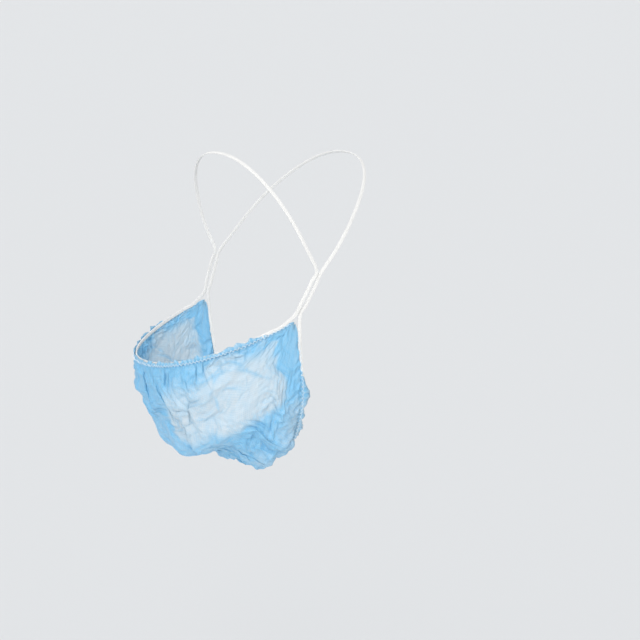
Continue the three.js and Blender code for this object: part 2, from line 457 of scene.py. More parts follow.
def thread_lengths(form, spare_around, spare_across):
    """Lengths of the threads round, down and both ways aslant, for cloth with spare length on a form."""
    around = np.linalg.norm(np.diff(form, axis=0), axis=-1)
    around = around * (1 + (spare_around[1:] + spare_around[:-1]) / 2)
    down = np.linalg.norm(np.diff(form, axis=1), axis=-1)
    down = down * (1 + (spare_across[:, 1:] + spare_across[:, :-1]) / 2)
    lean = (unit(form[1:, :-1] - form[:-1, :-1]) * unit(form[:-1, 1:] - form[:-1, :-1])).sum(-1)
    a, b = cell_sides(around, down)
    slant = np.sqrt(a * a + b * b + 2 * a * b * lean)
    other_slant = np.sqrt(a * a + b * b - 2 * a * b * lean)
    return around, down, slant, other_slant


def flat_size(lengths):
    """Width, length and area in metres of the cloth laid out flat, from its threads' own lengths."""
    around, down, slant, other_slant = lengths
    a, b = cell_sides(around, down)
    lean = (slant**2 - other_slant**2) / (4 * a * b)
    between_hems = (a * b * np.sqrt(1 - lean**2)).sum()
    turned = TURNOVER_ROWS[-1][0]
    hems = turned * (around[:, 0].sum() + around[:, -1].sum())
    width, length = down.sum(1).max() + 2 * turned, around.sum(0).max()
    return float(width) * MM, float(length) * MM, float(between_hems + hems) * MM**2


def bend_starts(count, odd):
    """Where the bends over two threads start, of those that are taken in one go."""
    i = np.arange(count - 2)
    return i[(i // 2) % 2 == odd]


def settle_once(points, loose, lengths):
    """One pass over all threads, taking those that share no point together."""
    around, down, slant, other_slant = lengths
    rows, columns = points.shape[:2]
    all_points, left, right = slice(None), slice(0, -1), slice(1, None)
    for odd in (0, 1):
        here, there = slice(odd, -1, 2), slice(odd + 1, None, 2)
        draw_together(points, loose, (here, all_points), (there, all_points), around[odd::2], 1.0)
        draw_together(points, loose, (here, left), (there, right), slant[odd::2], SHEAR_STRENGTH)
        draw_together(points, loose, (here, right), (there, left), other_slant[odd::2], SHEAR_STRENGTH)
        draw_together(points, loose, (all_points, here), (all_points, there), down[:, odd::2], 1.0)
        i = bend_starts(rows, odd)
        reach = SHARPEST_BEND * (around[i] + around[i + 1])
        draw_together(points, loose, i, i + 2, reach, BEND_STRENGTH, only_push=True)
        j = bend_starts(columns, odd)
        reach = SHARPEST_BEND * (down[:, j] + down[:, j + 1])
        first, second = (all_points, j), (all_points, j + 2)
        draw_together(points, loose, first, second, reach, BEND_STRENGTH, only_push=True)


# Each stage has a finer grid: points round and down, passes over the threads, height of the random start.
DRAPE_STAGES = ((80, 36, 260, 0.3), (160, 72, 200, 0.7), (320, 144, 160, 0.35))
END_MARGIN = 0.004  # share round that is left to the bunched tips at each end
HEM_RUFFLES = {"count": 66, "height": 0.8, "uneven": 2.5, "cells": (30, 1), "end_fade": 0.03}

# How far the cloth may lie within and beyond its form, in millimetres, and how soon that fades to the hems.
INWARD_LIMIT = {"loose": 4.5, "drawn": 0.1, "hem_fade": 0.05}
OUTWARD_LIMIT = {"loose": 3.6, "drawn": 0.2, "hem_fade": 0.06}
SINKING = 0.004  # share of its height over the form that the cloth loses in each pass

# In some places the threads have less spare length: by what share of it, and over what share of the way.
SLACK_TAKEN_UP = {"round": 0.98, "across": 0.96}  # where the cloth is drawn tight
BUNCH_EASED = 0.04  # at the bunched ends, where nothing is left of it round
END_EASED = {"share": 0.5, "over": 0.14}  # beside them, where the cloth lies straighter
REAR_EASED = {"share": 0.7, "from": 0.10, "over": 0.14}  # few pleats cross the strip beside the ears
UPPER_HEM_EASED = {"share": 0.55, "over": 0.3}  # the cloth lies smoother there than at the throat
HEM_FULLNESS = {"more": 0.12, "over": 0.25}  # near both hems they have more of it across

WANDER = {"round": 0.006, "across": 0.012, "cells": (18, 9), "end_fade": 0.06, "hem_fade": 0.12}
CRUMPLES = {"count": 420, "height": 2.2, "length": (0.03, 0.09), "width": (0.010, 0.018), "round_scale": 1.9}
CRUMPLE_END_FADE = 0.05

CLOTH_SPAN = {"round": 355.0, "across": 150.0}  # millimetres that a whole share round and across stand for
DRAPE_FACETS = 14.0  # millimetres between facets at the second stage, and half of it at the third
PAPERY_FACETS = {"pitch": 9.0, "loose": 0.55, "drawn": 0.16, "hem_fade": 0.05, "end_fade": 0.16}
CREASE_HEM_FADE = 0.08
# Facets are the sum of some pleated sheets, turned and spaced unevenly, bent, and each left in patches.
FACET_PLEATS = {"count": 9, "turn": 0.2, "pitch": (0.7, 1.7)}
FACET_BENDS = {"count": 3, "swing": 0.3, "rate": 2.2}
FACET_PATCHES = {"swing": 0.9, "rate": 1.4}


def where_drawn(values, drawn):
    """A value between its loose and its drawn one."""
    return values["loose"] + (values["drawn"] - values["loose"]) * drawn


def cloth_layers_and_painted_light(around, across):
    """Layers of cloth, 0 where one is drawn tight and 1 where it is gathered, or more, with painted light
    under the bag.
    """
    wobble = PALE_WOBBLE["share"] * lumps(around.shape, SEEDS["pale_edge"], PALE_WOBBLE["cells"])
    near_end = np.minimum(around, (1 - around) * FAR_SIDE_STRETCH) + wobble
    top, bottom = (np.interp(near_end, PALE_ROWS[:, 0], PALE_ROWS[:, k]) for k in (1, 2))
    upper = smooth((across + wobble - top) / PALE_EDGE + 0.5)
    lower = smooth((bottom - across - wobble) / PALE_EDGE + 0.5)
    ear = smooth((near_end - PALE_ROWS[0, 0]) / PALE_ENDS["ear"])
    chin = smooth((PALE_ROWS[-1, 0] - near_end) / PALE_ENDS["chin"])
    tint = UPPER_HEM_TINT
    least = np.exp(-(((near_end - tint["least_at"]) / tint["over"]) ** 2))
    strength = tint["most"] + (tint["least"] - tint["most"]) * least
    under_hem = 1 - smooth((across - UPPER_HEM_TINT_FADE["from"]) / UPPER_HEM_TINT_FADE["over"])
    layers_and_shade = 1 - upper * lower * (ear * chin) * (1 - strength * under_hem)
    # Patches, some of them painted light that makes the shaded underside paler.
    for place, down, round_size, down_size, more in LAYER_AND_LIGHT_PATCHES:
        aside, below = (near_end - place) / round_size, (across - down) / down_size
        layers_and_shade += more * np.exp(-(aside**2) - below**2)
    return layers_and_shade


def drawn_tight(around, across):
    """How firmly the cloth lies on the wearer: 1 on the cheek, less over the chin, 0 where it is loose."""
    from_end = end_share(around)
    upper = smooth((across - DRAWN["top"]) / DRAWN["top_over"])
    lower = smooth((DRAWN["bottom"] - across) / DRAWN["bottom_over"])
    chin = 1 - CHIN["looser"] * smooth((from_end - CHIN["from"]) / CHIN["over"])
    return upper * lower * smooth((from_end - DRAWN["end"]) / DRAWN["end_over"]) * chin


def crease_heights(form, around, across):
    """How high the pressed creases stand at each point of the form, and how near one it is, 0 to 1."""
    heights, nearness = np.zeros(around.shape), np.zeros(around.shape)
    t = np.linspace(0, 1, CREASE_STEPS)
    weights = ((1 - t) * (1 - 2 * t), 4 * t * (1 - t), t * (2 * t - 1))  # of its start, bend and end
    for far in (False, True):
        for *places, rise in CREASE_ROWS:
            turned, down = np.array(places[0::2]), np.array(places[1::2])
            if far:
                turned, down = 1 - turned - FAR_SIDE_SHIFT["round"], down + FAR_SIDE_SHIFT["across"]
            line = smooth_bag(*(sum(w * v for w, v in zip(weights, way)) for way in (turned, down)))
            away, passed = np.full(around.shape, np.inf), np.zeros(around.shape)
            for share_passed, point in zip(t, line):
                distance = np.linalg.norm(form - point, axis=-1)
                passed = np.where(distance < away, share_passed, passed)
                away = np.minimum(away, distance)
            fade = np.sin(np.pi * (passed * (1 - 2 * CREASE_TAPER) + CREASE_TAPER)) ** 0.5
            ridge = np.exp(-((away / CREASE_WIDTH) ** 2)) * fade
            valley = np.exp(-((away / (CREASE_VALLEY["width"] * CREASE_WIDTH)) ** 2)) * fade
            heights += rise * (ridge - CREASE_VALLEY["depth"] * valley)
            nearness = np.maximum(nearness, ridge)
    return heights, nearness


def wandering_grid(rows, columns):
    """Shares round and across whose lines wander a little, so that folds don't follow them."""
    around, across = np.meshgrid(
        np.linspace(END_MARGIN, 1 - END_MARGIN, rows), np.linspace(0, 1, columns), indexing="ij"
    )
    free = smooth(end_share(around) / WANDER["end_fade"]) * smooth(hem_share(across) / WANDER["hem_fade"])
    swing_round = lumps(around.shape, SEEDS["wander_round"], WANDER["cells"])
    swing_across = lumps(around.shape, SEEDS["wander_across"], WANDER["cells"])
    return around + WANDER["round"] * free * swing_round, across + WANDER["across"] * free * swing_across


def hem_ruffles(around):
    """How far the gathered hems swing outwards, in millimetres, at each point of a grid."""
    uneven = HEM_RUFFLES["uneven"] * lumps(around.shape, SEEDS["ruffles"], HEM_RUFFLES["cells"])
    swing = np.sin(2 * np.pi * HEM_RUFFLES["count"] * around + uneven)
    return HEM_RUFFLES["height"] * swing * smooth(end_share(around) / HEM_RUFFLES["end_fade"])


def crumples(around, across):
    """Short wrinkles in all directions, as a start for the drape."""
    dice = np.random.default_rng(SEEDS["crumples"])
    total = np.zeros(around.shape)
    for _ in range(CRUMPLES["count"]):
        place, down, angle = dice.uniform(0, 1), dice.uniform(0, 1), dice.uniform(0, math.pi)
        length, width = dice.uniform(*CRUMPLES["length"]), dice.uniform(*CRUMPLES["width"])
        wrinkle = long_bump(around, across, place, down, angle, length, width, CRUMPLES["round_scale"])
        total += dice.uniform(-1, 1) * wrinkle
    return total * CRUMPLES["height"]


def facets(around, across, seed, pitch):
    """Small flat facets with sharp creases between them, as in crumpled paper, pitch millimetres apart."""
    dice = np.random.default_rng(seed)
    place = np.stack([around * CLOTH_SPAN["round"], across * CLOTH_SPAN["across"]], -1)
    for _ in range(FACET_BENDS["count"]):
        way, turn = dice.uniform(-1, 1, 2), dice.uniform(0, 2 * np.pi)
        swing = np.sin(place @ way * FACET_BENDS["rate"] / pitch + turn)
        place = place + FACET_BENDS["swing"] * pitch * way[::-1] * swing[..., None]
    total = np.zeros(around.shape)
    for angle in dice.permutation(FACET_PLEATS["count"]) * np.pi / FACET_PLEATS["count"]:
        angle += dice.uniform(-FACET_PLEATS["turn"], FACET_PLEATS["turn"])
        spacing = pitch * dice.uniform(*FACET_PLEATS["pitch"])
        wave = place @ np.array([math.cos(angle), math.sin(angle)]) / spacing
        wave += dice.uniform(0, 1)
        way, turn = dice.uniform(-1, 1, 2), dice.uniform(0, 2 * np.pi)
        swing = np.sin(place @ way * FACET_PATCHES["rate"] / pitch + turn)
        pleat = np.abs(2 * (wave - np.floor(wave)) - 1) - 0.5
        total += pleat * smooth(0.5 + FACET_PATCHES["swing"] * swing)
    return total


def spare_lengths(settings, form, around, across, drawn):
    """Shares by which the threads round and down are longer than the form, at each point of it."""
    from_end = end_share(around)
    line_lengths = np.linalg.norm(np.diff(form, axis=0), axis=-1).sum(0)
    under_hem = 1 - smooth(across / UPPER_HEM_EASED["over"])
    beside_ear = 1 - smooth((from_end - REAR_EASED["from"]) / REAR_EASED["over"])
    spare_around = (settings.cut_length / MM / line_lengths - 1)[None] * smooth(from_end / BUNCH_EASED)
    spare_around = spare_around * (1 - SLACK_TAKEN_UP["round"] * drawn)
    spare_around = spare_around * (1 - UPPER_HEM_EASED["share"] * under_hem)
    spare_around = spare_around * (1 - REAR_EASED["share"] * beside_ear)
    width = np.linalg.norm(np.diff(form, axis=1), axis=-1).sum(1).max()
    by_hem = 1 - smooth(hem_share(across) / HEM_FULLNESS["over"])
    by_end = 1 - smooth(from_end / END_EASED["over"])
    spare_across = settings.cut_width / MM / width - 1 + HEM_FULLNESS["more"] * by_hem
    spare_across = spare_across * (1 - SLACK_TAKEN_UP["across"] * drawn)
    spare_across = spare_across * (1 - END_EASED["share"] * by_end)
    return spare_around, spare_across


def sharpness(points):
    """How sharply the cloth is folded at each point, 0 flat to 1."""
    bend = np.zeros(points.shape)
    bend[1:-1] += points[2:] + points[:-2] - 2 * points[1:-1]
    bend[:, 1:-1] += points[:, 2:] + points[:, :-2] - 2 * points[:, 1:-1]
    return smooth((np.linalg.norm(bend, axis=-1) - SHARP_FOLD["from"]) / SHARP_FOLD["over"])


def drape_bag(settings):
    """The draped cloth: points in millimetres, layers with painted shade, shares round and across, flat size.
    """
    offset = None
    stages = DRAPE_STAGES
    for stage, (rows, columns, passes, start) in enumerate(stages):
        around, across = wandering_grid(rows, columns)
        from_end, from_hem = end_share(around), hem_share(across)
        plain = smooth_bag(around, across)
        form = plain + sheet_normals(plain) * fold_heights(around, across)[..., None]
        normal = sheet_normals(form)
        drawn = drawn_tight(around, across)
        lengths = thread_lengths(form, *spare_lengths(settings, form, around, across, drawn))
        loose = np.ones(around.shape)
        loose[:, [0, -1]] = 0
        loose[[0, -1]] = 0
        ruffle = hem_ruffles(around)
        if offset is None:
            rough = start * lumps(around.shape, SEEDS["rough_start"], (rows // 2, columns // 2))
            rough = (crumples(around, across) + rough) * smooth(from_end / CRUMPLE_END_FADE)
            points = form + normal * rough[..., None]
        else:
            rough = start * facets(around, across, SEEDS["facets"] + stage, DRAPE_FACETS / stage)
            points = form + finer(offset, around.shape) + normal * rough[..., None]
        points[:, [0, -1]] = (form + normal * ruffle[..., None])[:, [0, -1]]
        points[[0, -1]] = form[[0, -1]]
        inward, outward = (
            where_drawn(limit, drawn) * smooth(from_hem / limit["hem_fade"]) + HEM_RUFFLES["height"]
            for limit in (INWARD_LIMIT, OUTWARD_LIMIT)
        )
        for _ in range(passes):
            settle_once(points, loose, lengths)
            height = ((points - form) * normal).sum(-1)
            wanted = np.clip(height, -inward, outward) - SINKING * height
            points += normal * ((wanted - height) * loose)[..., None]
        offset = points - form
    papery = facets(around, across, SEEDS["papery_facets"], PAPERY_FACETS["pitch"])
    papery *= where_drawn(PAPERY_FACETS, drawn)
    papery *= smooth(from_hem / PAPERY_FACETS["hem_fade"])
    papery *= smooth(from_end / PAPERY_FACETS["end_fade"])
    points += normal * papery[..., None]
    pressed, creased = crease_heights(form, around, across)
    points += normal * (pressed * smooth(from_hem / CREASE_HEM_FADE))[..., None]
    layers_and_shade = cloth_layers_and_painted_light(around, across)
    # Painted shade: pressed creases and sharp folds count as more cloth, so they come out darker and bluer.
    layers_and_shade = np.clip(layers_and_shade + CREASE_SHADE * creased + FOLD_SHADE * sharpness(points), 0, MOST_LAYERS)
    return *hem_over_elastic(points, layers_and_shade, around, across, ruffle), flat_size(lengths)


# ---- The turned hems and the bunched ends ----
# Rows of the cloth that is turned over the elastic: millimetres past the cloth's edge, and proud of its form.
TURNOVER_ROWS = ((0.28, 0.72), (1.7, 1.0), (3.3, 0.85))
TURNOVER_STARTS = {"at": 0.045, "over": 0.075}  # near the two ends the elastic shows
TURNOVER_CRIMP = 0.9  # millimetres from the valleys of the gathers over the elastic to their crests
UNTURNED_REACH = 0.09  # share of each row's reach that is left where the elastic shows
HEM_RAGGED = {"share": 0.27, "cells": (80, 1)}
TURNED_SHADE = {"most": 1.2, "less_on_crests": 0.4}  # against the cloth's layers beside the hem: the doubled cloth, with painted shade in the gathers' valleys and lighter crests
# Painted highlight along the turned edge: paler than the cloth beside the hem, less so in the gathers'
# valleys.
EDGE_SHADE = {"least": 0.35, "more_in_valleys": 0.5}

# Where the edge of the cloth flares past the elastic: at the upper hem, 0, or the lower, 1; place and
# width as shares round; extra reach in millimetres.
HEM_FLARES = (
    (1, 0.130, 0.020, 3.5),
    (1, 0.240, 0.030, 2.0),
    (1, 0.860, 0.025, 2.5),
    (0, 0.155, 0.020, 1.0),
    (0, 0.010, 0.010, 0.8),
    (1, 0.010, 0.010, 1.0),
    (0, 0.990, 0.010, 0.8),
    (1, 0.990, 0.010, 1.0),
)
TIP_ROWS = (0.25, 0.5, 0.72)  # how far each row past the end is drawn towards the tip
PUCKER = 0.15  # millimetres


def turned_over(around):
    """How much of the hem is turned over the elastic at places round it, 0 to 1."""
    return smooth((end_share(around) - TURNOVER_STARTS["at"]) / TURNOVER_STARTS["over"])


def hem_crimp(ruffle):
    """Where a place lies in the gathers: 0 in a valley and 1 on a crest."""
    return (1 + ruffle / HEM_RUFFLES["height"]) / 2


def hem_frame(around, across):
    """At a hem: points of its edge, the way past the edge in line with the cloth, and the way outwards."""
    step = 1e-3
    edge = smooth_bag(around, np.full(around.shape, float(across)))
    along = edge - smooth_bag(around - step, np.full(around.shape, float(across)))
    inward = step if across == 0 else -step
    down = (smooth_bag(around, np.full(around.shape, across + inward)) - edge) * np.sign(inward)
    out = unit(np.cross(along, down))
    beyond = unit(np.cross(along, out)) * (1 if across == 0 else -1)
    return edge, beyond, out


def hem_over_elastic(points, layers_and_shade, around, across, ruffle):
    """The cloth with its two turned hems added as extra rows, and what goes with each point."""
    round_hem = around[:, 0]
    cover = turned_over(round_hem)
    crimp = hem_crimp(ruffle[:, 0])
    last_row = TURNOVER_ROWS[-1][0]
    # Painted shade and highlight on the turned hem: darker in the gathers' valleys, lighter on their crests
    # and along its edge.
    turned_shade = TURNED_SHADE["most"] - TURNED_SHADE["less_on_crests"] * crimp
    edge_shade = EDGE_SHADE["least"] + EDGE_SHADE["more_in_valleys"] * (1 - crimp)
    rows_points, rows_layers_and_shade, rows_across = [points], [layers_and_shade], [across]
    for hem in (0, 1):
        tears = lumps((len(round_hem), 2), SEEDS["ragged_hem"] + hem, HEM_RAGGED["cells"])[:, 0]
        ragged = 1 + HEM_RAGGED["share"] * tears
        flare = sum(
            reach * np.exp(-(((round_hem - place) / width) ** 2))
            for which, place, width, reach in HEM_FLARES
            if which == hem
        )
        edge, beyond, out = hem_frame(round_hem, hem)
        for past, proud in TURNOVER_ROWS:
            reach = UNTURNED_REACH * past + (1 - UNTURNED_REACH) * past * cover * ragged
            reach = reach + flare * past / last_row
            lift = ruffle[:, -hem] * (1 - cover) + (proud + TURNOVER_CRIMP * crimp) * cover
            row = edge + beyond * reach[:, None] + out * lift[:, None]
            shade = layers_and_shade[:, -hem] * (edge_shade if past == last_row else turned_shade)
            beyond_hem = past / CLOTH_SPAN["across"]
            share = -beyond_hem if hem == 0 else 1 + beyond_hem
            add = (row[:, None], shade[:, None], np.full((len(round_hem), 1), share))
            for rows, new in zip((rows_points, rows_layers_and_shade, rows_across), add):
                rows.insert(0 if hem == 0 else len(rows), new)
    points, layers_and_shade, across = (np.concatenate(r, axis=1) for r in (rows_points, rows_layers_and_shade, rows_across))
    around = np.repeat(around[:, :1], points.shape[1], axis=1)
    return bunch_ends(points, layers_and_shade, around, across)


def bunch_ends(points, layers_and_shade, around, across):
    """The cloth with rows added past its two ends, which draw it together to a puckered tip."""
    for end, side in ((0, 1), (-1, -1)):
        tip = np.array([side * BUNCH_HALF_SPAN, BUNCH_Y, BUNCH_Z])
        edge = points[end].copy()
        dice = np.random.default_rng(SEEDS["puckers"] + end)
        pucker = dice.uniform(-PUCKER, PUCKER, (len(edge), 1))
        for closed in TIP_ROWS:
            row = edge + (tip - edge) * closed + [side, 0, 0] * pucker * (1 - closed)
            rows = ((points, row), (layers_and_shade, layers_and_shade[end]), (around, around[end]), (across, across[end]))
            points, layers_and_shade, around, across = (
                np.concatenate([new[None], old] if end == 0 else [old, new[None]]) for old, new in rows
            )
    return points, layers_and_shade, around, across


# ---- Nodes and meshes ----
MIX_FIRST, MIX_SECOND = 6, 7  # the colour inputs of a Mix node
MIX_RESULT = 2  # and its colour output
WELD_DISTANCE = 1e-6  # metres


def plain_material(name):
    """A new material with an empty node tree."""
    material = bpy.data.materials.new(name)
    material.use_nodes = True
    material.node_tree.nodes.clear()
    return material


def add_node(tree, kind, links=(), **settings):
    """A node with its settings and its links: pairs of its input and the socket that feeds it."""
    node = tree.nodes.new(kind)
    inputs = settings.pop("inputs", {})
    for key, value in settings.items():
        setattr(node, key, value)
    for key, value in inputs.items():
        node.inputs[key].default_value = value
    for key, socket in dict(links).items():
        tree.links.new(socket, node.inputs[key])
    return node


def new_object(name, data):
    """A new object in the scene."""
    obj = bpy.data.objects.new(name, data)
    bpy.context.scene.collection.objects.link(obj)
    return obj


def grid_mesh(name, points):
    """A quad mesh over a grid of points in millimetres."""
    rows, columns = points.shape[:2]
    index = np.arange(rows * columns).reshape(rows, columns)
    quads = np.stack([index[:-1, :-1], index[1:, :-1], index[1:, 1:], index[:-1, 1:]], -1).reshape(-1, 4)
    mesh = bpy.data.meshes.new(name)
    mesh.vertices.add(rows * columns)
    mesh.vertices.foreach_set("co", (points * MM).astype(np.float32).ravel())
    mesh.loops.add(quads.size)
    mesh.loops.foreach_set("vertex_index", quads.astype(np.int32).ravel())
    mesh.polygons.add(len(quads))
    mesh.polygons.foreach_set("loop_start", np.arange(0, quads.size, 4, dtype=np.int32))
    mesh.polygons.foreach_set("use_smooth", np.ones(len(quads), dtype=bool))
    mesh.update()
    mesh.validate()
    return mesh, quads


def add_uv(mesh, quads, name, u, v):
    """Lays two grids of values on a grid's mesh as a UV map."""
    flat = np.stack([u, v], -1).reshape(-1, 2)
    layer = mesh.uv_layers.new(name=name)
    layer.data.foreach_set("uv", flat[quads.ravel()].astype(np.float32).ravel())


def weld_mesh(mesh):
    """Merges doubled points and makes the faces point outwards."""
    work = bmesh.new()
    work.from_mesh(mesh)
    bmesh.ops.remove_doubles(work, verts=work.verts, dist=WELD_DISTANCE)
    bmesh.ops.recalc_face_normals(work, faces=work.faces)
    work.to_mesh(mesh)
    work.free()


# ---- The nonwoven bag ----
# Sizes in its material, in metres.
BOND_PITCH = 0.0019  # between the bond dots of the sheet
CLOUD_SIZE = 0.011  # patches of thicker and thinner fibre
FIBRE_SIZE = 0.0006  # clumps of fibre, as single ones are too fine to show
CRUMPLE_SIZE = 0.0075  # small crumples of the papery sheet, too fine for the mesh
CRUMPLE_BEND = {"size": 0.008, "reach": 0.009}
# Core and edge of a bond dot, as shares of the pitch.
BOND_DOT = {"From Min": 0.2, "From Max": 0.34, "To Min": 1.0, "To Max": 0.0}
# How far a crumple's creases reach to each side, as a share of its size.
CRUMPLE_CREASE = {"From Min": 0.0, "From Max": 0.22, "To Min": 1.0, "To Max": 0.0}
# Layers at which the cloth has its taut and its bunched colour.
COLOUR_LAYERS = {"From Min": 0.25, "From Max": 1.75, "To Min": 0.0, "To Max": 1.0}
# Roughness between the bond dots and on them.
BOND_ROUGHNESS = {"From Min": 0.0, "From Max": 1.0, "To Min": 0.56, "To Max": 0.36}
CLOUD_LAYERS = 0.8  # layers of cloth that the thickest fibre counts as
LIGHT_THROUGH = 0.4  # share of the light that comes through the cloth


def nonwoven_material(bag):
    """Spunbonded polypropylene, thermally bonded: thin and papery, with rows of tiny bond dots and cloudy
    fibre. It lets light through, so one tight layer looks pale and gathered layers look bluer. The layers it
    reads also carry painted shade in creases, folds and hem gathers, and painted light under the bag."""
    material = plain_material("spunbonded polypropylene")
    tree = material.node_tree
    flat = add_node(tree, "ShaderNodeUVMap", uv_map="cut").outputs["UV"]
    layers_and_shade = add_node(tree, "ShaderNodeAttribute", attribute_name="layers_and_shade")
    slanted = {"Rotation": (0, 0, math.radians(45))}
    turned = add_node(tree, "ShaderNodeMapping", {"Vector": flat}, inputs=slanted)
    dots = add_node(
        tree,
        "ShaderNodeTexVoronoi",
        {"Vector": turned.outputs["Vector"]},
        inputs={"Scale": 1 / BOND_PITCH, "Randomness": 0.12},
    )
    bond = add_node(tree, "ShaderNodeMapRange", {"Value": dots.outputs["Distance"]}, inputs=BOND_DOT)
    bonded = bond.outputs["Result"]
    cloud = add_node(
        tree,
        "ShaderNodeTexNoise",
        {"Vector": flat},
        inputs={"Scale": 1 / CLOUD_SIZE, "Detail": 5.0, "Roughness": 0.55},
    )
    fibre = add_node(
        tree,
        "ShaderNodeTexNoise",
        {"Vector": flat},
        inputs={"Scale": 1 / FIBRE_SIZE, "Detail": 3.0, "Roughness": 0.7},
    )
    # Small crumples in the papery sheet, as a net of bent creases.
    bend = add_node(tree, "ShaderNodeTexNoise", {"Vector": flat}, inputs={"Scale": 1 / CRUMPLE_BEND["size"]})
    bent = add_node(
        tree,
        "ShaderNodeVectorMath",
        {0: bend.outputs["Color"], 2: flat},
        operation="MULTIPLY_ADD",
        inputs={1: (CRUMPLE_BEND["reach"], CRUMPLE_BEND["reach"], 0.0)},
    )
    crumple = add_node(
        tree,
        "ShaderNodeTexVoronoi",
        {"Vector": bent.outputs["Vector"]},
        feature="DISTANCE_TO_EDGE",
        inputs={"Scale": 1 / CRUMPLE_SIZE, "Randomness": 1.0},
    )
    crumple_ridge = add_node(
        tree,
        "ShaderNodeMapRange",
        {"Value": crumple.outputs["Distance"]},
        interpolation_type="SMOOTHSTEP",
        inputs=CRUMPLE_CREASE,
    )
    # Bluer where the cloth is thicker and where shade is painted into its layers, and a little darker on the
    # bond dots.
    thickness_and_shade = add_node(
        tree,
        "ShaderNodeMath",
        {0: cloud.outputs["Fac"], 2: layers_and_shade.outputs["Fac"]},
        operation="MULTIPLY_ADD",
        inputs={1: CLOUD_LAYERS},
    )
    share = add_node(tree, "ShaderNodeMapRange", {"Value": thickness_and_shade.outputs["Value"]}, inputs=COLOUR_LAYERS)
    colour = add_node(
        tree,
        "ShaderNodeMix",
        {0: share.outputs["Result"]},
        data_type="RGBA",
        inputs={MIX_FIRST: bag.taut_colour, MIX_SECOND: bag.bunched_colour},
    )
    dotted = add_node(
        tree,
        "ShaderNodeMix",
        {0: bonded, MIX_FIRST: colour.outputs[MIX_RESULT]},
        data_type="RGBA",
        blend_type="MULTIPLY",
        inputs={MIX_SECOND: srgb("#EEF5FA")},
    ).outputs[MIX_RESULT]
    grain = add_node(tree, "ShaderNodeMath", {0: fibre.outputs["Fac"], 1: bonded}, operation="SUBTRACT")
    weave = add_node(
        tree,
        "ShaderNodeBump",
        {"Height": grain.outputs["Value"]},
        inputs={"Strength": 0.3, "Distance": 0.0001},
    )
    bump = add_node(
        tree,
        "ShaderNodeBump",
        {"Height": crumple_ridge.outputs["Result"], "Normal": weave.outputs["Normal"]},
        inputs={"Strength": 0.3, "Distance": 0.0003},
    ).outputs["Normal"]
    matt = add_node(tree, "ShaderNodeMapRange", {"Value": bonded}, inputs=BOND_ROUGHNESS)
    cloth = add_node(
        tree,
        "ShaderNodeBsdfPrincipled",
        {"Base Color": dotted, "Roughness": matt.outputs["Result"], "Normal": bump},
        inputs={"IOR": 1.49, "Sheen Weight": 0.2, "Sheen Roughness": 0.4},
    )
    glow = add_node(tree, "ShaderNodeBsdfTranslucent", {"Color": dotted, "Normal": bump})
    shaders = {1: cloth.outputs["BSDF"], 2: glow.outputs["BSDF"]}
    lit = add_node(tree, "ShaderNodeMixShader", shaders, inputs={0: LIGHT_THROUGH})
    add_node(tree, "ShaderNodeOutputMaterial", {"Surface": lit.outputs["Shader"]})
    return material


class BEARD_OT_cloth_bag(bpy.types.Operator):
    """Drapes the gathered nonwoven bag"""

    bl_idname = "beard.cloth_bag"
    bl_label = "Cloth bag"

    def execute(self, context):
        settings = context.scene.beard_bag
        points, shade, around, across, laid_flat = drape_bag(settings)
        mesh, quads = grid_mesh("nonwoven_bag", points)
        add_uv(mesh, quads, "cut", around * settings.cut_length, across * settings.cut_width)
        # Layers of cloth, with painted shade in the creases, sharp folds and hem gathers, and painted light
        # under the bag.
        layers_and_shade = mesh.attributes.new("layers_and_shade", "FLOAT", "POINT")
        layers_and_shade.data.foreach_set("value", shade.astype(np.float32).ravel())
        bag = new_object("nonwoven_bag", mesh)
        wall = bag.modifiers.new("wall", "SOLIDIFY")
        wall.thickness = settings.thickness
        wall.offset = 0
        mesh.materials.append(nonwoven_material(settings))
        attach(bag, "root")
        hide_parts("cloth_bag")
        return {"FINISHED"}


# ---- The elastic rings ----
HEAD_MIDDLE = np.array([0.0, 72.0, 108.0])
TAIL_START = np.array(
    [BUNCH_HALF_SPAN + TAIL_FOOT["out"], BUNCH_Y + TAIL_FOOT["back"], BUNCH_Z + TAIL_FOOT["up"]]
)
TAIL_END = np.array([SPLIT_HALF_SPAN, SPLIT_Y, SPLIT_Z])
BESIDE_TAIL = unit(np.array([0, TAIL_END[2] - TAIL_START[2], TAIL_START[1] - TAIL_END[1]]))
# From the middle of the face to the crown: where each stretch of a ring starts and ends, and its stations.
HEM_STRETCH = (0.5, 0.03, 22)
TAIL_STRETCH = (0, 0.75, 4)
ARCH_STRETCH = (0, 0.5, 11)
CURVE_STEPS = 40  # from station to station, to measure a ring

BAND_SECTION_SIDES = 12
BAND_CORNER = 0.35  # power that shapes the band's section: an oval at 1, squarer below it
BAND_BODY = 0.8  # thickness halfway up the ribs, as a share of the band's
STEPS_PER_RIB = 6
RIB_HEIGHT = 0.11  # as a share of the band's half thickness
RIB_AT_EDGES = 0.3  # and how much of it shows at the band's two edges
YARN_FUZZ = 0.0005  # metres, coarser than the real fuzz, which is too fine to show
YARN_RIBS = 0.5  # height of the ribs in the painted shade and the bump, against that of the fuzz
# Heights at which the yarn is darkest and lightest: painted shade in the grooves between the ribs, with the
# fuzz's random tone.
YARN_SHADE = {"From Min": -0.2, "From Max": 1.0, "To Min": 0.0, "To Max": 1.0}
# Roughness in the grooves and on the ribs.
YARN_ROUGHNESS = {"From Min": 0.0, "From Max": 1.0, "To Min": 0.85, "To Max": 0.65}


def hem_station(around, across):
    """Beside a hem the band runs just past the cloth's edge, in line with the cloth."""
    edge, beyond, out = (v[0] for v in hem_frame(np.array([around]), across))
    return edge + beyond * (BAND_GAP + BAND_WIDTH / 2), out


def on_head(point):
    """A station whose band lies flat on the head."""
    return point, unit(point - HEAD_MIDDLE)


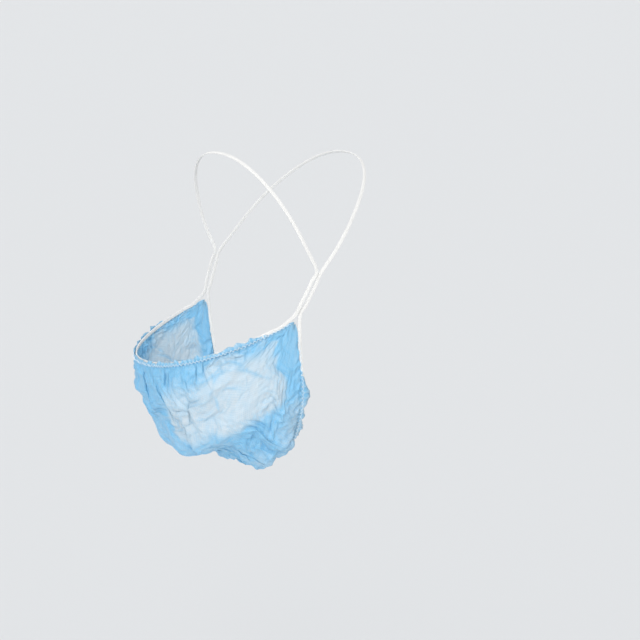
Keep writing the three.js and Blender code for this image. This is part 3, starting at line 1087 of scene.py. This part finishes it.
def tail_station(share, side):
    """Beside its twin, from the bag's end up to the split."""
    point = TAIL_START + (TAIL_END - TAIL_START) * share
    point = point + np.array([TAIL_BOW * math.sin(share * math.pi), 0, 0])
    return on_head(point + BESIDE_TAIL * side * TAIL_SPACING / 2)


def arch_station(arch, turn, side):
    """On the arch over the crown, which parts from its twin at its foot."""
    power = 2 / ARCH_SQUARENESS
    rise = arch["rise"] * math.sin(turn * math.pi) ** power
    lean = math.radians(arch["lean"])
    x = SPLIT_HALF_SPAN * max(math.cos(turn * math.pi), 0.0) ** power
    point = np.array([x, SPLIT_Y + rise * math.sin(lean), SPLIT_Z + rise * math.cos(lean)])
    shift = (1 - smooth(turn / PARTING_SHARE)) * side * TAIL_SPACING / 2
    return on_head(point + BESIDE_TAIL * shift)


def ring_route(across, arch, side):
    """Stations round a whole ring: points and the way its flat side faces."""
    left = [hem_station(a, across) for a in np.linspace(*HEM_STRETCH)]
    left += [tail_station(s, side) for s in np.linspace(*TAIL_STRETCH)]
    left += [arch_station(arch, t, side) for t in np.linspace(*ARCH_STRETCH)]
    mirror = np.array([-1, 1, 1])
    right = [(p * mirror, o * mirror) for p, o in reversed(left[1:-1])]
    stations = left + right
    return np.array([p for p, _ in stations]), np.array([o for _, o in stations])


def on_round_curve(values, t):
    """Values on the closed smooth curve through the stations, where t counts the stations passed."""
    i = np.floor(t).astype(int)
    a, b, c, d = (values[(i + k) % len(values)] for k in (-1, 0, 1, 2))
    return smooth_curve(a, b, c, d, (t - i)[:, None])


def travelled_round(points):
    """Closely spaced places on the closed curve through the stations, and the way travelled to each."""
    count = len(points)
    fine = np.linspace(0, count, count * CURVE_STEPS, endpoint=False)
    run = on_round_curve(points, fine)
    lengths = np.linalg.norm(np.roll(run, -1, axis=0) - run, axis=1)
    return np.concatenate([fine, [count]]), np.concatenate([[0], np.cumsum(lengths)])


def even_steps(points, facing, steps):
    """Evenly spaced points on the closed curve through the stations, its direction and its facing there."""
    fine, travelled = travelled_round(points)
    wanted = np.linspace(0, travelled[-1], steps, endpoint=False)
    t = np.interp(wanted, travelled, fine) % len(points)
    place = on_round_curve(points, t)
    along = unit(np.roll(place, -1, axis=0) - np.roll(place, 1, axis=0))
    out = on_round_curve(facing, t)
    return place, along, unit(out - along * (out * along).sum(1, keepdims=True))


def rounded(wave):
    """A cosine or sine pressed towards a square wave, for a band's section."""
    return np.sign(wave) * np.abs(wave) ** BAND_CORNER


def band_mesh(name, across, arch, side, rib_pitch):
    """A flat elastic with rounded edges and fine ribs across it, swept round its ring."""
    points, facing = ring_route(across, arch, side)
    ribs = round(travelled_round(points)[1][-1] / rib_pitch)
    steps = ribs * STEPS_PER_RIB
    place, along, out = even_steps(points, facing, steps)
    swell = 1 + RIB_HEIGHT * np.cos(np.arange(steps) * 2 * np.pi / STEPS_PER_RIB)[:, None]
    wide = np.cross(along, out)
    turn = np.linspace(0, 2 * np.pi, BAND_SECTION_SIDES, endpoint=False)
    breadth = rounded(np.cos(turn)) * BAND_WIDTH / 2
    depth = rounded(np.sin(turn)) * BAND_THICKNESS / 2 * BAND_BODY
    breadth, depth = breadth[None] * (1 + (swell - 1) * RIB_AT_EDGES), depth[None] * swell
    ring = place[:, None] + wide[:, None] * breadth[..., None] + out[:, None] * depth[..., None]
    closed = np.concatenate([ring, ring[:1]])
    closed = np.concatenate([closed, closed[:, :1]], axis=1)
    mesh, quads = grid_mesh(name, closed)
    ribs_passed, turned = np.linspace(0, ribs, steps + 1), np.linspace(0, 1, BAND_SECTION_SIDES + 1)
    add_uv(mesh, quads, "band", *np.meshgrid(ribs_passed, turned, indexing="ij"))
    weld_mesh(mesh)
    return mesh


def elastic_material(settings):
    """Covered rubber elastic: fine polyester yarn wound in ribs over stretched rubber, soft and matte, with
    painted shade in its grooves.
    """
    material = plain_material("covered elastic")
    tree = material.node_tree
    band = add_node(tree, "ShaderNodeUVMap", uv_map="band")
    split = add_node(tree, "ShaderNodeSeparateXYZ", {"Vector": band.outputs["UV"]})
    whole_turn = {1: 2 * math.pi}
    turns = add_node(
        tree, "ShaderNodeMath", {0: split.outputs["X"]}, operation="MULTIPLY", inputs=whole_turn
    )
    ribs = add_node(tree, "ShaderNodeMath", {0: turns.outputs["Value"]}, operation="COSINE")
    spot = add_node(tree, "ShaderNodeTexCoord")
    fuzz = add_node(
        tree,
        "ShaderNodeTexNoise",
        {"Vector": spot.outputs["Object"]},
        inputs={"Scale": 1 / YARN_FUZZ, "Detail": 3.0},
    )
    height = add_node(
        tree,
        "ShaderNodeMath",
        {0: ribs.outputs["Value"], 2: fuzz.outputs["Fac"]},
        operation="MULTIPLY_ADD",
        inputs={1: YARN_RIBS},
    ).outputs["Value"]
    shade = add_node(tree, "ShaderNodeMapRange", {"Value": height}, inputs=YARN_SHADE).outputs["Result"]
    # Painted shade: the grooves between the ribs get the darker colour.
    colour = add_node(
        tree,
        "ShaderNodeMix",
        {0: shade},
        data_type="RGBA",
        inputs={MIX_FIRST: srgb("#C9C8C6"), MIX_SECOND: settings.colour},
    )
    relief = {"Strength": 0.6, "Distance": 0.0002}
    bump = add_node(tree, "ShaderNodeBump", {"Height": height}, inputs=relief)
    matt = add_node(tree, "ShaderNodeMapRange", {"Value": shade}, inputs=YARN_ROUGHNESS)
    yarn = add_node(
        tree,
        "ShaderNodeBsdfPrincipled",
        {
            "Base Color": colour.outputs[MIX_RESULT],
            "Roughness": matt.outputs["Result"],
            "Normal": bump.outputs["Normal"],
        },
        inputs={"Sheen Weight": 0.2},
    )
    add_node(tree, "ShaderNodeOutputMaterial", {"Surface": yarn.outputs["BSDF"]})
    return material


class BEARD_OT_elastic_rings(bpy.types.Operator):
    """Makes the front and rear elastic rings"""

    bl_idname = "beard.elastic_rings"
    bl_label = "Elastic rings"

    def execute(self, context):
        settings = context.scene.beard_elastic
        finish = elastic_material(settings)
        rings = (
            ("front_elastic", 0, FRONT_ARCH, -1, "front_elastic_ring"),
            ("rear_elastic", 1, REAR_ARCH, 1, "rear_elastic_ring"),
        )
        for name, across, arch, side, node in rings:
            mesh = band_mesh(name, across, arch, side, settings.rib_pitch / MM)
            mesh.materials.append(finish)
            ring = new_object(name, mesh)
            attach(ring, "root")
            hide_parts(node)
        return {"FINISHED"}


# ---- The hem stitches ----
STITCH_REACH = 0.0008  # metres, half the width of the zigzag
STITCH_RISE = 0.0007  # metres
STITCH_STEPS = 6
THREAD_SIDES = 6
THREAD_HAIR = 0.00025  # metres, coarser than the real hairs for the same reason
SEAM_HALF_ROUND = 0.485  # how far the seam runs each way from the middle of the face, as a share round
SEAM_POINTS = 700
SEAM_PAST_EDGE = 0.6  # millimetres
STITCH_STAND = 0.5  # the seam's height over the turned hem, and over the bare elastic near the ends


def hem_line_mesh(name, across):
    """The line of a hem seam: a chain of edges with the ways outwards and past the edge at each point."""
    around = np.linspace(0.5 - SEAM_HALF_ROUND, 0.5 + SEAM_HALF_ROUND, SEAM_POINTS)
    edge, beyond, out = hem_frame(around, across)
    rows = np.linspace(END_MARGIN, 1 - END_MARGIN, DRAPE_STAGES[-1][0])
    ruffle = np.interp(around, rows, hem_ruffles(np.stack([rows, rows], 1))[:, 0])
    cover = turned_over(around)
    proud = np.interp(SEAM_PAST_EDGE, *np.transpose(TURNOVER_ROWS))
    hem = proud + TURNOVER_CRIMP * hem_crimp(ruffle)
    height = BAND_THICKNESS / 2 * (1 - cover) + hem * cover + STITCH_STAND
    place = edge + beyond * SEAM_PAST_EDGE + out * height[:, None]
    mesh = bpy.data.meshes.new(name)
    mesh.from_pydata([tuple(p) for p in place * MM], [(k, k + 1) for k in range(len(place) - 1)], [])
    for label, values in (("outwards", out), ("past_edge", beyond)):
        layer = mesh.attributes.new(label, "FLOAT_VECTOR", "POINT")
        layer.data.foreach_set("vector", values.astype(np.float32).ravel())
    return mesh


def stitch_nodes(thread_finish):
    """Geometry nodes that set a V of thread at each step along a line of edges."""
    tree = bpy.data.node_groups.new("hem_stitches", "GeometryNodeTree")
    face = tree.interface
    face.new_socket("Geometry", in_out="INPUT", socket_type="NodeSocketGeometry")
    for label in ("Pitch", "Reach", "Rise", "Thread radius"):
        face.new_socket(label, in_out="INPUT", socket_type="NodeSocketFloat")
    face.new_socket("Geometry", in_out="OUTPUT", socket_type="NodeSocketGeometry")
    given = add_node(tree, "NodeGroupInput").outputs

    line = add_node(tree, "GeometryNodeMeshToCurve", {"Mesh": given["Geometry"]}).outputs["Curve"]
    spaced = {"Curve": line, "Length": given["Pitch"]}
    steps = add_node(tree, "GeometryNodeResampleCurve", spaced, mode="LENGTH")
    # The V's feet are on the cloth's side of the seam, and its tip is on the elastic's.
    cloth_side = add_node(
        tree, "ShaderNodeMath", {0: given["Reach"]}, operation="MULTIPLY", inputs={1: -1.0}
    ).outputs["Value"]
    tip = add_node(tree, "ShaderNodeCombineXYZ", {"Y": given["Reach"]})
    both = add_node(tree, "GeometryNodeJoinGeometry")
    for side in (-1, 1):
        foot, knee = (
            add_node(
                tree, "ShaderNodeMath", {0: given["Pitch"]}, operation="MULTIPLY", inputs={1: side * share}
            ).outputs["Value"]
            for share in (0.5, 0.25)
        )
        start = add_node(tree, "ShaderNodeCombineXYZ", {"X": foot, "Y": cloth_side})
        middle = add_node(tree, "ShaderNodeCombineXYZ", {"X": knee, "Z": given["Rise"]})
        leg = add_node(
            tree,
            "GeometryNodeCurveQuadraticBezier",
            {
                "Start": start.outputs["Vector"],
                "Middle": middle.outputs["Vector"],
                "End": tip.outputs["Vector"],
            },
            inputs={"Resolution": STITCH_STEPS},
        )
        tree.links.new(leg.outputs["Curve"], both.inputs[0])
    section = add_node(
        tree,
        "GeometryNodeCurvePrimitiveCircle",
        {"Radius": given["Thread radius"]},
        inputs={"Resolution": THREAD_SIDES},
    )
    stitch = add_node(
        tree,
        "GeometryNodeCurveToMesh",
        {"Curve": both.outputs[0], "Profile Curve": section.outputs["Curve"]},
        inputs={"Fill Caps": True},
    )
    outwards, past_edge = (
        add_node(
            tree, "GeometryNodeInputNamedAttribute", data_type="FLOAT_VECTOR", inputs={"Name": way}
        ).outputs["Attribute"]
        for way in ("outwards", "past_edge")
    )
    turn = add_node(
        tree,
        "FunctionNodeAxesToRotation",
        {"Primary Axis": outwards, "Secondary Axis": past_edge},
        primary_axis="Z",
        secondary_axis="Y",
    )
    row = add_node(
        tree,
        "GeometryNodeInstanceOnPoints",
        {
            "Points": steps.outputs["Curve"],
            "Instance": stitch.outputs["Mesh"],
            "Rotation": turn.outputs["Rotation"],
        },
    )
    real = add_node(tree, "GeometryNodeRealizeInstances", {"Geometry": row.outputs["Instances"]})
    finish = add_node(tree, "GeometryNodeSetMaterial", {"Geometry": real.outputs["Geometry"]})
    finish.inputs["Material"].default_value = thread_finish
    add_node(tree, "NodeGroupOutput", {"Geometry": finish.outputs["Geometry"]})
    return tree


def thread_material():
    """Textured polyester sewing thread, matt and slightly hairy."""
    material = plain_material("polyester sewing thread")
    tree = material.node_tree
    spot = add_node(tree, "ShaderNodeTexCoord")
    hair = add_node(
        tree,
        "ShaderNodeTexNoise",
        {"Vector": spot.outputs["Object"]},
        inputs={"Scale": 1 / THREAD_HAIR, "Detail": 2.0},
    ).outputs["Fac"]
    relief = {"Strength": 0.4, "Distance": 0.00005}
    bump = add_node(tree, "ShaderNodeBump", {"Height": hair}, inputs=relief)
    shade = add_node(
        tree,
        "ShaderNodeMix",
        {0: hair},
        data_type="RGBA",
        inputs={MIX_FIRST: srgb("#C6DCEB"), MIX_SECOND: srgb("#EAF3F9")},
    )
    thread = add_node(
        tree,
        "ShaderNodeBsdfPrincipled",
        {"Base Color": shade.outputs[MIX_RESULT], "Normal": bump.outputs["Normal"]},
        inputs={"Roughness": 0.7, "Sheen Weight": 0.2},
    )
    add_node(tree, "ShaderNodeOutputMaterial", {"Surface": thread.outputs["BSDF"]})
    return material


class BEARD_OT_hem_stitches(bpy.types.Operator):
    """Sews the zigzag stitches along both hems"""

    bl_idname = "beard.hem_stitches"
    bl_label = "Hem stitches"

    def execute(self, context):
        settings = context.scene.beard_stitches
        tree = stitch_nodes(thread_material())
        sizes = {
            "Pitch": settings.pitch,
            "Reach": STITCH_REACH,
            "Rise": STITCH_RISE,
            "Thread radius": settings.thread / 2,
        }
        for name, across in (("upper_hem_stitches", 0), ("lower_hem_stitches", 1)):
            line = new_object(name + "_line", hem_line_mesh(name, across))
            rule = line.modifiers.new("stitches", "NODES")
            rule.node_group = tree
            for item in tree.interface.items_tree:
                if item.in_out == "INPUT" and item.name in sizes:
                    rule[item.identifier] = sizes[item.name]
            done = line.evaluated_get(context.evaluated_depsgraph_get())
            mesh = bpy.data.meshes.new_from_object(done)
            mesh.name = name
            bpy.data.objects.remove(line)
            row = new_object(name, mesh)
            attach(row, "root")
        return {"FINISHED"}


# ---- The studio ----
CAMERA = {"azimuth": 62.0, "elevation": 7.0, "distance": 1.8, "field": 0.464, "sensor": 36.0}
AIM_OFFSET = {"right": 0.0332, "up": -0.0272}  # from the middle of the worn form to the middle of the view
WORN_MIDDLE = Vector((0.0, 0.072, 0.114))  # metres
FLOOR_SIDES = 96
KEY_LIGHT = {"way": (0.55, -0.75, 0.4), "spread": 50}
FILL_LIGHT = {"way": (0.9, -0.1, 0.18), "spread": 80}
BOUNCE = {"size": 0.7, "above_floor": 0.02}


def paper_material(colour):
    """Matt studio paper."""
    material = plain_material("matt studio paper")
    tree = material.node_tree
    paper = add_node(tree, "ShaderNodeBsdfPrincipled", inputs={"Base Color": colour, "Roughness": 0.9})
    add_node(tree, "ShaderNodeOutputMaterial", {"Surface": paper.outputs["BSDF"]})
    return material


def lay_floor(settings, floor_z):
    """A wide round floor under the part."""
    work = bmesh.new()
    bmesh.ops.create_circle(work, cap_ends=True, segments=FLOOR_SIDES, radius=settings.floor_radius)
    bmesh.ops.translate(work, verts=work.verts, vec=(0, 0, floor_z))
    mesh = bpy.data.meshes.new("floor")
    work.to_mesh(mesh)
    work.free()
    mesh.materials.append(paper_material(settings.backdrop))
    floor = new_object("floor", mesh)


def soft_sun(name, light, strength):
    """A lamp as even as a very large softbox. light gives the way to where it stands, and its spread."""
    lamp = bpy.data.lights.new(name, "SUN")
    lamp.energy = strength
    lamp.angle = math.radians(light["spread"])
    sun = new_object(name, lamp)
    sun.rotation_euler = Vector(light["way"]).to_track_quat("Z", "Y").to_euler()


def bounce_panel(strength, floor_z):
    """A soft light that shines up from just over the floor."""
    lamp = bpy.data.lights.new("bounce light", "AREA")
    lamp.size = BOUNCE["size"]
    lamp.energy = strength
    panel = new_object("bounce light", lamp)
    panel.location = (0, WORN_MIDDLE.y, floor_z + BOUNCE["above_floor"])
    panel.rotation_euler = (math.pi, 0, 0)
    panel.visible_camera = False


def set_camera(scene):
    """The camera, in front of the wearer and to their left, a little above the worn form's middle."""
    azimuth, elevation = math.radians(CAMERA["azimuth"]), math.radians(CAMERA["elevation"])
    level = math.cos(elevation)
    back = Vector((math.sin(azimuth) * level, -math.cos(azimuth) * level, math.sin(elevation)))
    right = Vector((math.cos(azimuth), math.sin(azimuth), 0))
    up = back.cross(right)
    place = WORN_MIDDLE + back * CAMERA["distance"]
    aim = WORN_MIDDLE + right * AIM_OFFSET["right"] + up * AIM_OFFSET["up"]
    lens = bpy.data.cameras.new("camera")
    lens.sensor_width = CAMERA["sensor"]
    lens.lens = lens.sensor_width * CAMERA["distance"] / CAMERA["field"]
    camera = new_object("camera", lens)
    camera.location = place
    camera.rotation_euler = (aim - place).to_track_quat("-Z", "Y").to_euler()
    scene.camera = camera


class BEARD_OT_stage(bpy.types.Operator):
    """Makes the floor, the soft studio light and the camera"""

    bl_idname = "beard.stage"
    bl_label = "Studio"

    def execute(self, context):
        settings = context.scene.beard_stage
        floor_z = cad_bounds[0].z - settings.floor_drop
        lay_floor(settings, floor_z)
        world = bpy.data.worlds.new("studio air")
        world.use_nodes = True
        air = world.node_tree.nodes["Background"]
        air.inputs["Color"].default_value = srgb("#F4F6F8")
        air.inputs["Strength"].default_value = settings.air_light
        context.scene.world = world
        soft_sun("key light", KEY_LIGHT, settings.key_light)
        soft_sun("fill light", FILL_LIGHT, settings.fill_light)
        bounce_panel(settings.bounce_light, floor_z)
        context.scene.view_settings.view_transform = "Standard"
        set_camera(context.scene)
        return {"FINISHED"}


class BEARD_PT_panel(bpy.types.Panel):
    """Lists the pieces of the beard cover"""

    bl_idname = "BEARD_PT_panel"
    bl_label = "Beard Cover"
    bl_space_type = "VIEW_3D"
    bl_region_type = "UI"
    bl_category = "Beard Cover"

    def draw(self, context):
        for operator in OPERATORS:
            self.layout.operator(operator.bl_idname)
        for group in GROUPS:
            for name in GROUPS[group].__annotations__:
                self.layout.prop(getattr(context.scene, group), name)


GROUPS = {
    "beard_bag": BEARD_PG_bag,
    "beard_elastic": BEARD_PG_elastic,
    "beard_stitches": BEARD_PG_stitches,
    "beard_stage": BEARD_PG_stage,
}
OPERATORS = (BEARD_OT_stage, BEARD_OT_elastic_rings, BEARD_OT_hem_stitches, BEARD_OT_cloth_bag)


def register():
    for cls in (*GROUPS.values(), *OPERATORS, BEARD_PT_panel):
        bpy.utils.register_class(cls)
    for name, cls in GROUPS.items():
        setattr(bpy.types.Scene, name, PointerProperty(type=cls))


def unregister():
    for name in GROUPS:
        delattr(bpy.types.Scene, name)
    for cls in reversed((*GROUPS.values(), *OPERATORS, BEARD_PT_panel)):
        bpy.utils.unregister_class(cls)


def main():
    register()
    bpy.ops.beard.stage()
    bpy.ops.beard.elastic_rings()
    bpy.ops.beard.hem_stitches()
    bpy.ops.beard.cloth_bag()


if __name__ == "__main__":
    main()
